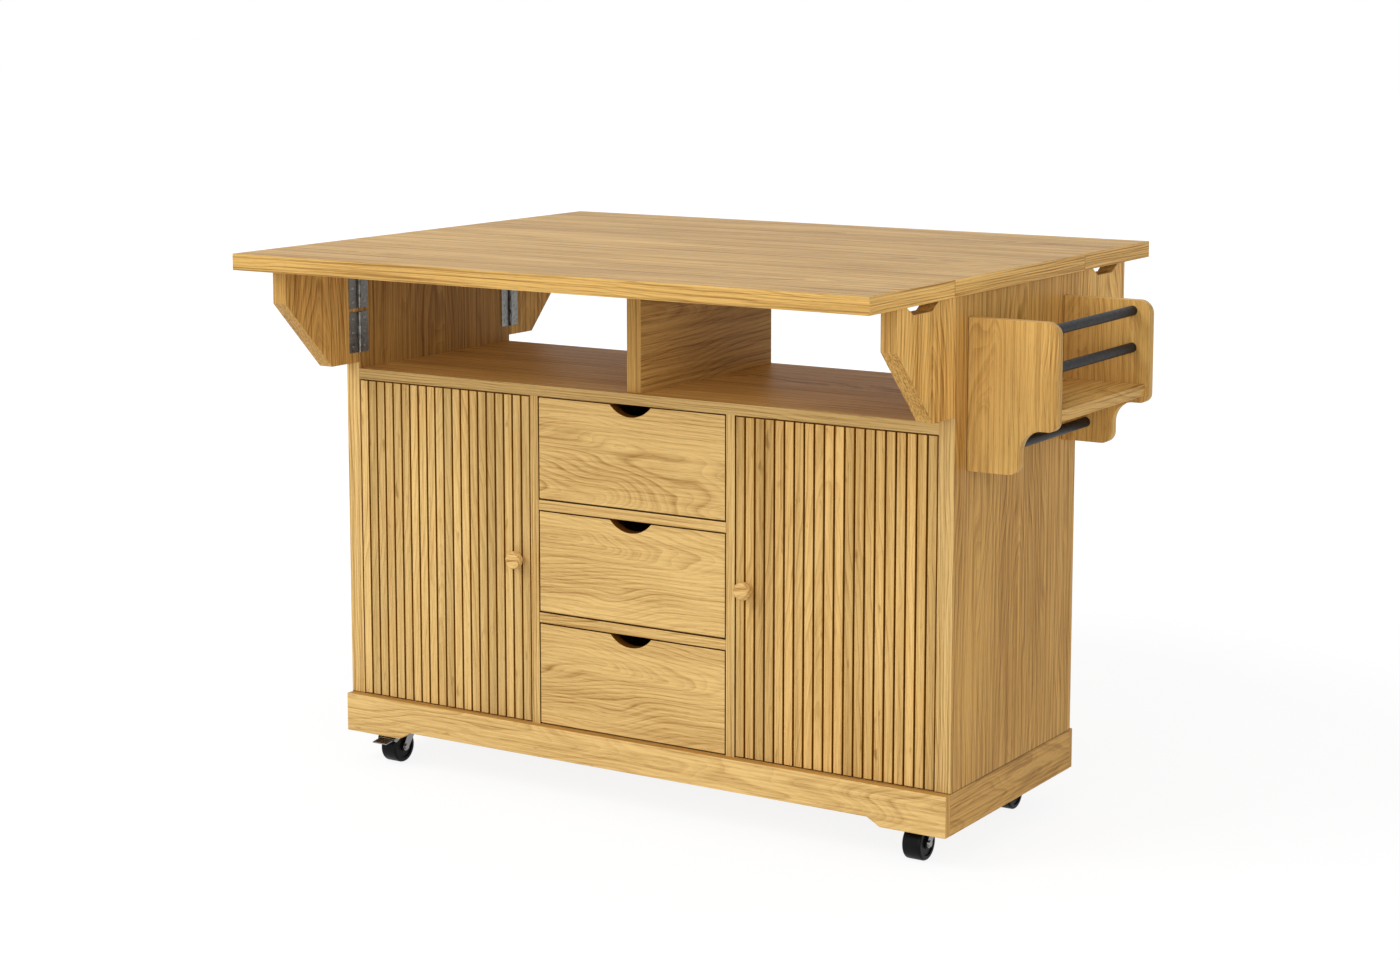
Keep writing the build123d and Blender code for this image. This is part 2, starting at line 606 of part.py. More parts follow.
braked = (("front", "left"), ("back", "right"))
for end, sy in ends:
    for side, sx in sides:
        x = cabinet_x + sx * caster_x
        y = sy * caster_y
        axle_y = y - caster_trail
        has_brake = (end, side) in braked
        brake_y = axle_y - brake_pivot_y
        brake_z = axle_z + brake_pivot_z
        crown_middle = crown_z + fork_crown_thickness / 2
        arm_y = y - fork_crown_half + brake_arm / 2
        with BuildPart() as fork:
            for inner in (leg_inner, -leg_outer):
                with BuildSketch(Plane.YZ.offset(x + inner)):
                    with Locations((y, crown_middle)):
                        Rectangle(2 * fork_leg_half, fork_crown_thickness)
                    with Locations((axle_y, axle_z)):
                        Circle(fork_eye_radius)
                    make_hull()
                extrude(amount=fork_sheet)
                if has_brake:
                    with BuildSketch(Plane.YZ.offset(x + inner)):
                        with Locations((arm_y, crown_middle)):
                            Rectangle(brake_arm, fork_crown_thickness)
                        with Locations((brake_y, brake_z)):
                            Circle(brake_lobe_radius)
                        make_hull()
                    extrude(amount=fork_sheet)
            with Locations((x, y, crown_z)):
                Box(2 * leg_outer, 2 * fork_crown_half, fork_crown_thickness, align=LOW)
            with Locations((x, y, crown_z + fork_crown_thickness)):
                Cylinder(race_radius, race_height, align=LOW)
            with Locations((x, y, crown_z)):
                Cylinder(king_bore_radius, race_top - crown_z, align=LOW, mode=Mode.SUBTRACT)
            with Locations((x, axle_y, axle_z)):
                Cylinder(axle_radius, 2 * leg_outer, rotation=ALONG_X)
            with Locations([(x + out * (leg_outer + axle_head / 2), axle_y, axle_z) for out in (-1, 1)]):
                Cylinder(axle_head_radius, axle_head, rotation=ALONG_X)
            if has_brake:
                with Locations((x, brake_y, brake_z)):
                    Cylinder(brake_pin_radius, 2 * leg_outer, rotation=ALONG_X)
        fork.part.label = f"fork_{end}_{side}"
        export_step(fork.part, f"parts/fork_{end}_{side}.step")

        with BuildPart() as wheel:
            with Locations((x, axle_y, axle_z)):
                Cylinder(wheel_diameter / 2, wheel_width, rotation=ALONG_X)
            fillet(wheel.edges().filter_by(GeomType.CIRCLE), wheel_round)
            for out in (-1, 1):
                dish_x = x + out * (wheel_width - wheel_dish_depth) / 2
                with BuildSketch(Plane.YZ.offset(dish_x - wheel_dish_depth / 2)):
                    with Locations((axle_y, axle_z)):
                        Circle(wheel_dish_outer)
                        Circle(wheel_dish_inner, mode=Mode.SUBTRACT)
                extrude(amount=wheel_dish_depth, mode=Mode.SUBTRACT)
            with Locations((x, axle_y, axle_z)):
                Cylinder(axle_radius + axle_clearance, wheel_width, rotation=ALONG_X, mode=Mode.SUBTRACT)
        wheel.part.label = f"wheel_{end}_{side}"
        export_step(wheel.part, f"parts/wheel_{end}_{side}.step")

        if has_brake:
            lever_width = 2 * (leg_inner - brake_side_gap)
            with BuildPart() as brake:
                with BuildSketch(Plane.YZ.offset(x - lever_width / 2)):
                    with BuildLine():
                        Polyline(
                            (brake_y, brake_z + pedal_thickness / 2),
                            (brake_y - pedal_length, brake_z - pedal_drop + pedal_thickness / 2),
                            (brake_y - pedal_length, brake_z - pedal_drop - pedal_thickness / 2),
                            (brake_y, brake_z - pedal_thickness / 2),
                            close=True,
                        )
                    make_face()
                    with Locations((brake_y, brake_z)):
                        Circle(brake_barrel_radius)
                        Circle(brake_pin_radius + hinge_pin_clearance, mode=Mode.SUBTRACT)
                extrude(amount=lever_width)
            brake.part.label = f"brake_{end}_{side}"
            export_step(brake.part, f"parts/brake_{end}_{side}.step")

# Rack cheeks: a full-depth upper part and a coved tail, with blind sockets for the rods
with BuildPart() as rack_cheeks:
    for near in (-half_depth + rack_inset, half_depth - rack_inset - cheek_thickness):
        with BuildSketch(Plane.XZ.offset(-near)) as cheek:
            with BuildLine():
                Polyline(
                    (side_face_x, rack_top),
                    (side_face_x + rack_reach, rack_top),
                    (side_face_x + rack_reach, rack_top - cheek_tray_height),
                    (side_face_x + cheek_tail_reach, rack_top - cheek_tray_height),
                    (side_face_x + cheek_tail_reach, rack_top - rack_height),
                    (side_face_x, rack_top - rack_height),
                    close=True,
                )
            make_face()
            for reach, drop, radius in (
                (rack_reach, 0, cheek_top_round),
                (rack_reach, cheek_tray_height, cheek_low_round),
                (cheek_tail_reach, cheek_tray_height, cheek_cove),
                (cheek_tail_reach, rack_height, cheek_tail_round),
            ):
                corner = (side_face_x + reach, rack_top - drop, 0)
                fillet(cheek.vertices().sort_by_distance(corner)[0], radius)
        extrude(amount=-cheek_thickness)
    with Locations(rod_places):
        Cylinder(rod_radius, 2 * (rack_inner_half + rod_seat), rotation=ALONG_Y, mode=Mode.SUBTRACT)
rack_cheeks.part.label = "rack_cheeks"
export_step(rack_cheeks.part, "parts/rack_cheeks.step")

# Shelf of the rack
rack_shelf_reach = rack_reach - rack_shelf_setback
rack_shelf_z = rack_top - rack_shelf_drop - rack_shelf_thickness
with BuildPart() as rack_shelf:
    with Locations((side_face_x + rack_shelf_reach / 2, 0, rack_shelf_z)):
        Box(rack_shelf_reach, 2 * rack_inner_half, rack_shelf_thickness, align=LOW)
rack_shelf.part.label = "rack_shelf"
export_step(rack_shelf.part, "parts/rack_shelf.step")

# Two guard rails and the towel bar
with BuildPart() as rack_rods:
    with Locations(rod_places):
        Cylinder(rod_radius, 2 * (rack_inner_half + rod_seat), rotation=ALONG_Y)
rack_rods.part.label = "rack_rods"
export_step(rack_rods.part, "parts/rack_rods.step")
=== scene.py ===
import math

import bmesh
import bpy
from bpy.props import FloatProperty, FloatVectorProperty, IntProperty, PointerProperty
from mathutils import Matrix, Vector


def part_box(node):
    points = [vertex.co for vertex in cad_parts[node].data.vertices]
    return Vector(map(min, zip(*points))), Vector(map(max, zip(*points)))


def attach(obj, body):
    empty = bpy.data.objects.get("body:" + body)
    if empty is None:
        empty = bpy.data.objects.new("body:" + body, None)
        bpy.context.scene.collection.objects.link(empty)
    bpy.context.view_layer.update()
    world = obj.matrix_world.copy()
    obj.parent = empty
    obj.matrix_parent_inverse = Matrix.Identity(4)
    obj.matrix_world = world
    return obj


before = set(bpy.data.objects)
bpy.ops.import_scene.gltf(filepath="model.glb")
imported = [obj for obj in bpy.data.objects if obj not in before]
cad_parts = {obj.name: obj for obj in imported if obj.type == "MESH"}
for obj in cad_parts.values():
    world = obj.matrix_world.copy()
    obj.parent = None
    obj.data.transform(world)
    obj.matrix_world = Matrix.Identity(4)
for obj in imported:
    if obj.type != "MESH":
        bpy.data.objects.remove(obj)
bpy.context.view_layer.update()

bl_info = {
    "name": "Drop-leaf kitchen cart",
    "version": (1, 0, 0),
    "blender": (4, 5, 0),
    "location": "3D View > Sidebar > Kitchen Cart",
    "description": "Dresses the kitchen cart's boards and fittings and sets up its studio",
    "category": "Object",
}

SIDES = (("left", -1), ("right", 1))
ENDS = (("front", -1), ("back", 1))
AXES = "XYZ"
STEEP = 0.52  # a face looks along an axis where it has at least this share of the face's direction
EASED = 0.12  # the same share, where the dark brown of grooves and gaps takes in the eased edge beside the face
SHARP = math.radians(35.0)  # edges that turn by more than this are eased
SAME_POINT = 0.00001  # points closer than this are joined, in metres
GRIP_WIDTH = 0.5  # share of a drawer front's width where its cut-out lies
GRIP_RIM = 0.0005  # how far below the upper edge the cut-out's face begins, in metres
HEART_DEPTH = 0.04  # how far behind a board the tree's heart lies, in metres
HEART_SPREAD = 0.12  # width of the band about a board's middle where the heart may lie, in metres
EDGE_ASIDE = 0.15  # how far from the tree's heart a board's edge is cut, in metres
EDGE_FINE = (1.0, 1.7, 1.0)  # closer lines on a board's narrow front edge
SLAT_PITCHES = 19.86  # length of a row of 20 slats in pitches, since it ends without a groove
SLAT_SHIFT = 0.03  # how far the grain may jump from slat to slat, in metres
SLAT_TONES = (0.80, 1.10)  # darkest and lightest slat of a row
JOINT_SHADE_LINE = (0.0006, 0.0022)  # how far from a joint its line of painted shade begins to fade and ends, in metres
COLOUR_SOCKETS = (0, 6, 7)  # share, first and second colour of a mix node
PLACE_SOCKETS = (0, 4, 5)  # share, first and second place of a mix node

# How fast the oak's patterns change along, across and into the grain, per metre
WAVE = (1.8, 9.0, 9.0)
WOBBLE = (7.0, 28.0, 28.0)
FADE = (3.0, 16.0, 16.0)
STREAK = (2.6, 260.0, 260.0)
FIBRE = (17.0, 700.0, 700.0)
PORE = (48.0, 900.0, 900.0)
PATCH = (2.4, 8.0, 8.0)
SPOT = (22.0, 70.0, 70.0)

# The same for the scratches of metal, along X, Y and Z
SCRATCH = (2600.0, 2600.0, 120.0)


def colour(name, description, default):
    """A colour that the sidebar shows."""
    return FloatVectorProperty(
        name=name, description=description, subtype="COLOR", size=3, min=0.0, max=1.0, default=default
    )


def length(name, description, default):
    """A length in metres that the sidebar shows."""
    return FloatProperty(name=name, description=description, unit="LENGTH", min=0.0, default=default)


def power(name, description, default):
    """A lamp's power in watts that the sidebar shows."""
    return FloatProperty(name=name, description=description, unit="POWER", min=0.0, default=default)


class CartFinish(bpy.types.PropertyGroup):
    """Colours of the cart's finishes, and of the painted shade in its grooves and gaps."""

    front_light: colour("Front oak, light", "Pale wood of the drawers and left door", (0.77, 0.525, 0.205))
    front_dark: colour("Front oak, dark", "Grain lines of the drawers and left door", (0.33, 0.165, 0.040))
    warm_light: colour("Warm oak, light", "Pale wood of the right door", (0.755, 0.490, 0.178))
    warm_dark: colour("Warm oak, dark", "Grain lines of the right door", (0.310, 0.148, 0.033))
    honey_light: colour("Honey oak, light", "Pale wood of the rack and the brackets", (0.74, 0.45, 0.135))
    honey_dark: colour("Honey oak, dark", "Grain lines of the rack and the brackets", (0.29, 0.130, 0.026))
    side_light: colour("Side oak, light", "Pale wood of the sides and the plinth", (0.68, 0.39, 0.108))
    side_dark: colour("Side oak, dark", "Grain lines of the sides and the plinth", (0.27, 0.119, 0.022))
    top_light: colour("Worktop oak, light", "Pale wood of the worktop", (0.74, 0.46, 0.140))
    top_dark: colour("Worktop oak, dark", "Grain lines of the worktop", (0.30, 0.145, 0.032))
    # the groove floor and the slats' sides: the wood's own dark brown together with painted shade
    groove: colour("Groove stain", "Dark stain between the door slats", (0.150, 0.056, 0.002))
    slat_side: colour("Slat side stain", "Brown stain on the sides of the door slats", (0.250, 0.095, 0.004))
    # painted shade: dark brown on the board edges inside the narrow gaps, where shade falls
    reveal: colour("Reveal stain", "Brown of the board edges inside the narrow gaps", (0.105, 0.034, 0.001))
    raw_light: colour("Raw board, light", "Pale wood of the drawer boxes", (0.68, 0.50, 0.28))
    raw_dark: colour("Raw board, dark", "Grain lines of the drawer boxes", (0.50, 0.34, 0.17))
    hinge_steel: colour("Hinge steel", "Mottled steel of the butt hinges", (0.20, 0.20, 0.19))
    screw: colour("Screw", "Steel of the hinge screws", (0.30, 0.30, 0.29))
    rod: colour("Rod", "Charcoal coating of the rack's rods", (0.011, 0.011, 0.012))
    zinc: colour("Zinc", "Zinc of the casters and runners", (0.26, 0.26, 0.255))
    tyre: colour("Tyre", "Black of the wheels", (0.0025, 0.0025, 0.0025))


class CartSizes(bpy.types.PropertyGroup):
    """Small sizes that the boards and fittings are dressed with."""

    board_edge: length("Board edge", "Width of the eased edges of the boards", 0.0008)
    front_edge: length("Drawer front edge", "Width of the eased edges of the drawer fronts", 0.0012)
    slat_edge: length("Slat edge", "Width of the eased edges of the door slats", 0.0010)
    cheek_edge: length("Cheek edge", "Width of the rounded outline of the rack's cheeks", 0.0018)
    # how far the dark brown of grooves and gaps, partly painted shade, reaches behind the front
    stain_reach: length("Stain reach", "How far a stain goes into the gaps behind the front", 0.0040)
    metal_edge: length("Metal edge", "Width of the eased edges of the fittings", 0.0003)
    hinge_sheet: length("Hinge sheet", "Thickness of the butt hinges' plates", 0.0015)
    hinge_wing: length("Hinge wing", "Reach of a bracket hinge's plate from its pin", 0.025)
    hinge_length: length("Hinge length", "Length of a bracket hinge", 0.070)
    leaf_wing: length("Leaf hinge wing", "Reach of a leaf hinge's plate from its pin", 0.023)
    leaf_length: length("Leaf hinge length", "Length of a leaf hinge", 0.060)
    screw_inset: length("Screw inset", "Hinge screws from the plate's outer edge", 0.0100)
    screw_pitch: length("Screw pitch", "Distance between the screws of a hinge", 0.0240)
    plate_side: length("Caster plate side", "Side of a caster's square plate", 0.060)
    plate_sheet: length("Caster plate sheet", "Thickness of a caster's plate", 0.0025)
    bolt_inset: length("Bolt inset", "Caster bolts from the plate's edges", 0.0085)
    bolt_radius: length("Bolt head radius", "Radius of the caster bolts' heads", 0.0045)
    screw_radius: length("Screw head radius", "Radius of the hinge screws' heads", 0.0032)
    screw_rise: length("Screw head rise", "How far a screw head stands over its plate", 0.0007)
    screw_sides: IntProperty(
        name="Screw head sides", description="Sides of a screw head's rim", min=8, max=64, default=24
    )


class CartStudio(bpy.types.PropertyGroup):
    """Camera and light."""

    camera_place: FloatVectorProperty(
        name="Camera place", description="Where the camera stands", subtype="TRANSLATION", size=3,
        default=(2.3289, -3.8356, 1.3451),
    )
    camera_yaw: FloatProperty(
        name="Camera yaw", description="Turn of the camera about the upright axis", subtype="ANGLE",
        default=math.radians(32.081),
    )
    camera_pitch: FloatProperty(
        name="Camera pitch", description="How far the camera looks down", subtype="ANGLE",
        default=math.radians(7.813),
    )
    camera_lens: FloatProperty(
        name="Camera lens", description="Focal length on a 36 mm sensor, in millimetres", unit="CAMERA",
        min=1.0, default=70.11,
    )
    camera_shift: FloatProperty(
        name="Camera shift", description="Upright lens shift, as a share of the sensor", default=-0.0857
    )
    world_light: FloatProperty(
        name="World light", description="Strength of the soft light from all round", min=0.0, default=0.50
    )
    key_power: power("Key light", "Power of the large light at the front left", 140.0)
    fill_power: power("Fill light", "Power of the light at the front", 46.0)
    side_power: power("Side light", "Power of the light at the front right", 50.0)
    top_power: power("Top light", "Power of the light overhead", 14.0)


class Shader:
    """A material's node tree, with short ways to add nodes and join them."""

    def __init__(self, name):
        self.material = bpy.data.materials.new(name)
        self.material.use_nodes = True
        self.tree = self.material.node_tree
        self.surface = self.tree.nodes["Principled BSDF"]

    def join(self, socket, value):
        """Links a socket to another node's output, or sets its value."""
        if isinstance(value, bpy.types.NodeSocket):
            self.tree.links.new(value, socket)
        else:
            socket.default_value = value

    def node(self, kind, inputs=(), **settings):
        """A node of that kind with its settings, and its inputs joined in order."""
        made = self.tree.nodes.new("ShaderNode" + kind)
        for name, value in settings.items():
            setattr(made, name, value)
        for key, value in dict(inputs).items():
            self.join(made.inputs[key], value)
        return made

    def math(self, operation, *values, clamp=False):
        made = self.node("Math", enumerate(values), operation=operation, use_clamp=clamp)
        return made.outputs[0]

    def vector(self, operation, *values):
        made = self.node("VectorMath", enumerate(values), operation=operation)
        return made.outputs["Value" if operation in ("LENGTH", "DOT_PRODUCT") else "Vector"]

    def noise(self, place, scale, detail=2.0, roughness=0.5, distortion=0.0):
        inputs = {
            "Vector": place, "Scale": scale, "Detail": detail,
            "Roughness": roughness, "Distortion": distortion,
        }
        return self.node("TexNoise", inputs).outputs[0]

    def stretched_noise(self, place, scales, detail=2.0, roughness=0.5, distortion=0.0):
        """Noise with a scale of its own along each axis."""
        return self.noise(self.vector("MULTIPLY", place, scales), 1.0, detail, roughness, distortion)

    def split(self, place):
        """The three parts of a place or a direction."""
        return self.node("SeparateXYZ", [(0, place)]).outputs

    def gather(self, *parts):
        """A place from its parts."""
        return self.node("CombineXYZ", enumerate(parts)).outputs[0]

    def remap(self, value, low, high, to_low=0.0, to_high=1.0):
        inputs = {"Value": value, "From Min": low, "From Max": high, "To Min": to_low, "To Max": to_high}
        return self.node("MapRange", inputs).outputs[0]

    def mix(self, share, first, second, blend_type="MIX"):
        """A mix of two colours."""
        inputs = zip(COLOUR_SOCKETS, (share, first, second))
        made = self.node("Mix", inputs, data_type="RGBA", blend_type=blend_type, clamp_factor=True)
        return made.outputs[2]

    def mix_places(self, share, first, second):
        """A mix of two places."""
        inputs = zip(PLACE_SOCKETS, (share, first, second))
        return self.node("Mix", inputs, data_type="VECTOR").outputs[1]

    def shaded(self, tint, level):
        """A colour made brighter or darker."""
        grey = self.node("CombineColor", enumerate((level, level, level))).outputs[0]
        return self.mix(1.0, tint, grey, "MULTIPLY")

    def bump(self, height, strength, distance):
        inputs = {"Height": height, "Strength": strength, "Distance": distance}
        return self.node("Bump", inputs).outputs[0]

    def place(self):
        """The surface point in the cart's frame, in metres."""
        return self.node("TexCoord").outputs["Object"]

    def finish(self, **values):
        """Joins or sets the surface's own sockets and returns the material."""
        for name, value in values.items():
            self.join(self.surface.inputs[name.replace("_", " ")], value)
        return self.material


def rgba(values):
    return (*values, 1.0)


def grain_place(shader, grain, centre, fine):
    """Coordinates along, across and into the grain, from the middle of the piece. The grain names the fibre
    axis of the faces that look along X, Y and Z, and a single letter gives one axis for the whole piece.
    Fine is how much closer the lines lie on the faces that look along X, Y and Z."""
    parts = shader.split(shader.vector("SUBTRACT", shader.place(), centre))
    if len(grain) == 1:
        along = AXES.index(grain)
        return shader.gather(parts[along], parts[(along + 1) % 3], parts[(along + 2) % 3])
    places = []
    for into, axis in enumerate(grain):
        along = AXES.index(axis)
        across = parts[3 - into - along]
        if fine[into] != 1.0:
            across = shader.math("MULTIPLY_ADD", across, fine[into], EDGE_ASIDE)
        places.append(shader.gather(parts[along], across, parts[into]))
    place = shader.mix_places(looks_along(shader, 0), places[1], places[0])
    return shader.mix_places(looks_along(shader, 2), place, places[2])


def facing(shader):
    """How far a surface looks along X, Y and Z, as shares that add up to 1."""
    normal = shader.node("TexCoord").outputs["Normal"]
    return shader.vector("MULTIPLY", normal, normal)


def looks_along(shader, axis, steep=STEEP):
    """Share 1 on the faces that look along an axis, either way."""
    return shader.math("GREATER_THAN", shader.split(facing(shader))[axis], steep)


def slat_shift(shader, strips, seed):
    """A shift of the grain and a tone for each slat of a row along X, from the row's first edge and pitch."""
    first, pitch = strips
    x = shader.split(shader.place())[0]
    number = shader.math("FLOOR", shader.math("DIVIDE", shader.math("SUBTRACT", x, first), pitch))
    number = shader.math("ADD", number, seed * 31.0)  # the two doors have different rows
    chance = shader.node("TexWhiteNoise", {"W": number}, noise_dimensions="1D").outputs
    shift = shader.vector("SCALE", chance["Color"])
    shift.node.inputs["Scale"].default_value = SLAT_SHIFT
    return shift, shader.remap(chance["Value"], 0.0, 1.0, *SLAT_TONES)


def growth_rings(shader, place, seed, rings, tilt, flame):
    """Strong and thin dark lines where the board cuts the tree's rings. The tree's heart lies at a depth
    behind the board and tilts along it, so that the lines close into tall arches in the middle of a wide
    face. Rings is how many there are in a metre, and flame is how far they wander."""
    aside = ((seed * 0.37) % 1.0 - 0.5) * HEART_SPREAD
    wave = shader.stretched_noise(place, WAVE, 2.0, 0.45, 0.2)
    wobble = shader.stretched_noise(place, WOBBLE, 1.0)
    along, across, _ = shader.split(place)
    across = shader.math("SUBTRACT", across, aside)
    below = shader.math("MULTIPLY_ADD", along, tilt, HEART_DEPTH)
    radius = shader.vector("LENGTH", shader.gather(across, below))
    growth = shader.math("MULTIPLY_ADD", radius, rings, shader.math("MULTIPLY", wave, flame))
    growth = shader.math("MULTIPLY_ADD", wobble, 1.8, growth)
    ring = shader.math("FRACT", growth)
    line = shader.math("MULTIPLY", shader.math("POWER", ring, 3.0), shader.remap(ring, 0.84, 1.0, 1.0, 0.0))
    fade = shader.stretched_noise(place, FADE)
    thin = shader.math("POWER", shader.math("FRACT", shader.math("MULTIPLY", growth, 2.3)), 2.0)
    return shader.math("MULTIPLY", line, shader.remap(fade, 0.36, 0.60, 0.25, 1.0)), thin


def oak(name, light, dark, grain, seed, box, rings=110.0, tilt=0.10, flame=8.0, lines=0.80, streaks=0.55,
        sheen=0.45, gloss=0.10, flecks=0.0, fine=(1.0, 1.0, 1.0), strips=None, stain=None, shades=None,
        front=None, joint=None, grip=False):
    """Oiled oak veneer: growth rings, streaks, fibres and pores along the grain.
    Lines and streaks say how strongly the rings and the streaks show, and flecks is the share of small
    dark knots. Strips is the first edge and the pitch of a row of slats along X, each with a tone of its
    own. The darkening of grooves and gaps is given as a colour, the axes of the faces that have it, how far
    they look along them, and how deep it reaches behind the front: between the door slats it is the wood's
    own dark brown together with painted shade, and in the narrow gaps it is painted shade. The brightening
    by facing is given for the faces that look along X, Y and Z: it is painted light and shade, and only a
    change of tone where the three are alike. Front is another pair of light and dark wood, for the faces that
    look along Y. Joint is an axis and a level where a line of painted shade darkens two boards where they
    meet. With grip, the painted shade goes right through the board inside the cut-out at the middle of its
    upper edge."""
    shader = Shader(name)
    low, high = box
    board = grain_place(shader, grain, (low + high) / 2, fine)
    if strips:
        shift, tone = slat_shift(shader, strips, seed)
        board = shader.vector("ADD", board, shift)
    place = shader.vector("ADD", board, (seed * 1.37 % 5.0, 0.0, 0.0))  # each piece has its own stretch
    line, thin = growth_rings(shader, board, seed, rings, tilt, flame)
    streak = shader.stretched_noise(place, STREAK, 3.0, 0.6)
    fibre = shader.stretched_noise(place, FIBRE, 2.0, 0.6)
    pore = shader.remap(shader.stretched_noise(place, PORE, 1.0), 0.58, 0.70)
    patch = shader.stretched_noise(place, PATCH)

    # how strongly each pattern darkens the wood
    depth = shader.math("MULTIPLY", line, lines)
    depth = shader.math("MULTIPLY_ADD", thin, lines * 0.30, depth)
    depth = shader.math("MULTIPLY_ADD", shader.remap(streak, 0.42, 0.66), streaks, depth)
    depth = shader.math("MULTIPLY_ADD", shader.math("SUBTRACT", fibre, 0.5), 0.55, depth)
    depth = shader.math("MULTIPLY_ADD", shader.math("SUBTRACT", patch, 0.5), 0.75, depth)
    depth = shader.math("MULTIPLY_ADD", pore, 0.24, depth, clamp=True)

    wood = shader.mix(depth, rgba(light), rgba(dark))
    if front:
        wood = shader.mix(looks_along(shader, 1), wood, shader.mix(depth, rgba(front[0]), rgba(front[1])))
    if flecks:
        spot = shader.stretched_noise(place, SPOT, 2.0, 0.55)
        spot = shader.remap(spot, 0.72 - 0.04 * flecks, 0.82 - 0.04 * flecks)
        wood = shader.mix(shader.math("MULTIPLY", spot, 0.50), wood, rgba(tuple(0.60 * c for c in dark)))
    if strips:
        wood = shader.shaded(wood, tone)
    # painted light and shade: each face made brighter or darker by the way it looks along X, Y and Z; where
    # the three are alike this is only a change of tone
    if shades:
        wood = shader.shaded(wood, shader.vector("DOT_PRODUCT", facing(shader), shades))
    # painted shade: a dark line where two boards meet, for the shade in the joint between them
    if joint:
        axis, level = joint
        apart = shader.split(shader.place())[axis]
        apart = shader.math("ABSOLUTE", shader.math("SUBTRACT", apart, level))
        joint_shade = rgba(tuple(0.25 * c for c in dark))
        wood = shader.mix(shader.remap(apart, *JOINT_SHADE_LINE, 0.85, 0.0), wood, joint_shade)
    rough = shader.remap(streak, 0.3, 0.7, sheen - 0.05, sheen + 0.08)
    # dark brown on the chosen faces near the front: in the door grooves the wood's own dark brown together
    # with painted shade, in the narrow gaps painted shade
    if stain:
        tint, axes, steep, reach = stain
        x, y, z = shader.split(shader.place())
        stained = 0.0
        for axis in axes:
            stained = shader.math("MAXIMUM", stained, looks_along(shader, AXES.index(axis), steep))
        behind = shader.math("SUBTRACT", y, low.y)
        deep = shader.remap(behind, reach, reach * 1.5, 1.0, 0.0)
        # painted shade inside the drawer front's cut-out, right through the board
        if grip:
            aside = shader.math("ABSOLUTE", shader.math("SUBTRACT", x, (low.x + high.x) / 2))
            inside = shader.math("LESS_THAN", aside, (high.x - low.x) * GRIP_WIDTH / 2)
            for test, level in (("LESS_THAN", high.z - GRIP_RIM), ("GREATER_THAN", (low.z + high.z) / 2)):
                inside = shader.math("MULTIPLY", inside, shader.math(test, z, level))
            deep = shader.math("MAXIMUM", deep, inside)
        stained = shader.math("MULTIPLY", stained, deep)
        wood = shader.mix(stained, wood, rgba(tint))
        rough = shader.math("MAXIMUM", rough, stained)
    height = shader.math("SUBTRACT", shader.math("MULTIPLY", fibre, 0.3), pore)
    normal = shader.bump(height, strength=0.25, distance=0.0004)
    return shader.finish(Base_Color=wood, Roughness=rough, Specular_IOR_Level=gloss, Normal=normal)


def metal(name, base, rough, mottle, metallic=1.0, gloss=0.5):
    """Plated or coated metal: cloudy tone, fine scratches and a varying sheen."""
    shader = Shader(name)
    place = shader.place()
    cloud = shader.noise(place, 160.0, 3.0, 0.6)
    speck = shader.noise(place, 900.0, 2.0, 0.6)
    scratch = shader.stretched_noise(place, SCRATCH)
    dull = tuple(c * (1.0 - mottle) for c in base)
    bright = tuple(min(1.0, c * (1.0 + mottle)) for c in base)
    share = shader.math("MULTIPLY_ADD", speck, 0.4, shader.math("MULTIPLY", cloud, 0.6))
    tint = shader.mix(shader.remap(share, 0.35, 0.65), rgba(dull), rgba(bright))
    sheen = shader.remap(cloud, 0.3, 0.7, rough - 0.07, rough + 0.09)
    normal = shader.bump(scratch, strength=0.12, distance=0.0002)
    return shader.finish(
        Base_Color=tint, Metallic=metallic, Roughness=sheen, Specular_IOR_Level=gloss, Normal=normal
    )


def wheel_black(name, base):
    """Moulded black wheel: slight dust, fine grit and a soft gloss."""
    shader = Shader(name)
    place = shader.place()
    dust = shader.noise(place, 55.0, 4.0, 0.65)
    grit = shader.noise(place, 1400.0, 2.0)
    pale = tuple(c * 2.5 for c in base)
    tint = shader.mix(shader.remap(dust, 0.52, 0.75), rgba(base), rgba(pale))
    sheen = shader.remap(dust, 0.3, 0.7, 0.34, 0.52)
    normal = shader.bump(grit, strength=0.10, distance=0.0002)
    return shader.finish(Base_Color=tint, Roughness=sheen, Specular_IOR_Level=0.12, Normal=normal)


def join_points(piece):
    """Joins the points that lie on one another, so that the faces close."""
    weld = piece.modifiers.new("weld", "WELD")
    weld.merge_threshold = SAME_POINT


def ease_edges(piece, width, segments):
    """Rounds the sharp edges of a piece a little, as sanding does."""
    bevel = piece.modifiers.new("eased_edges", "BEVEL")
    bevel.width = width
    bevel.segments = segments
    bevel.limit_method = "ANGLE"
    bevel.angle_limit = SHARP
    bevel.use_clamp_overlap = True
    bevel.harden_normals = True


def wear(node, material, edge, segments=2):
    """Gives a CAD node its finish, and eased edges unless their width is 0."""
    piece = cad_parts[node]
    piece.data.materials.clear()
    piece.data.materials.append(material)
    join_points(piece)
    if edge:
        ease_edges(piece, edge, segments)


def dress(context, tone, grain, nodes, edge=None, segments=2, **settings):
    """Dresses oak nodes alike, each with a seed of its own from its name. Their edges are eased as on all
    boards where no other width is given, and the settings are those of oak."""
    sizes = context.scene.cart_sizes
    light = tuple(getattr(context.scene.cart_finish, tone + "_light"))
    dark = tuple(getattr(context.scene.cart_finish, tone + "_dark"))
    for node in nodes:
        seed = sum((place + 1) * ord(letter) for place, letter in enumerate(node)) % 97
        material = oak("oak_" + node, light, dark, grain, seed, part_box(node), **settings)
        wear(node, material, sizes.board_edge if edge is None else edge, segments)


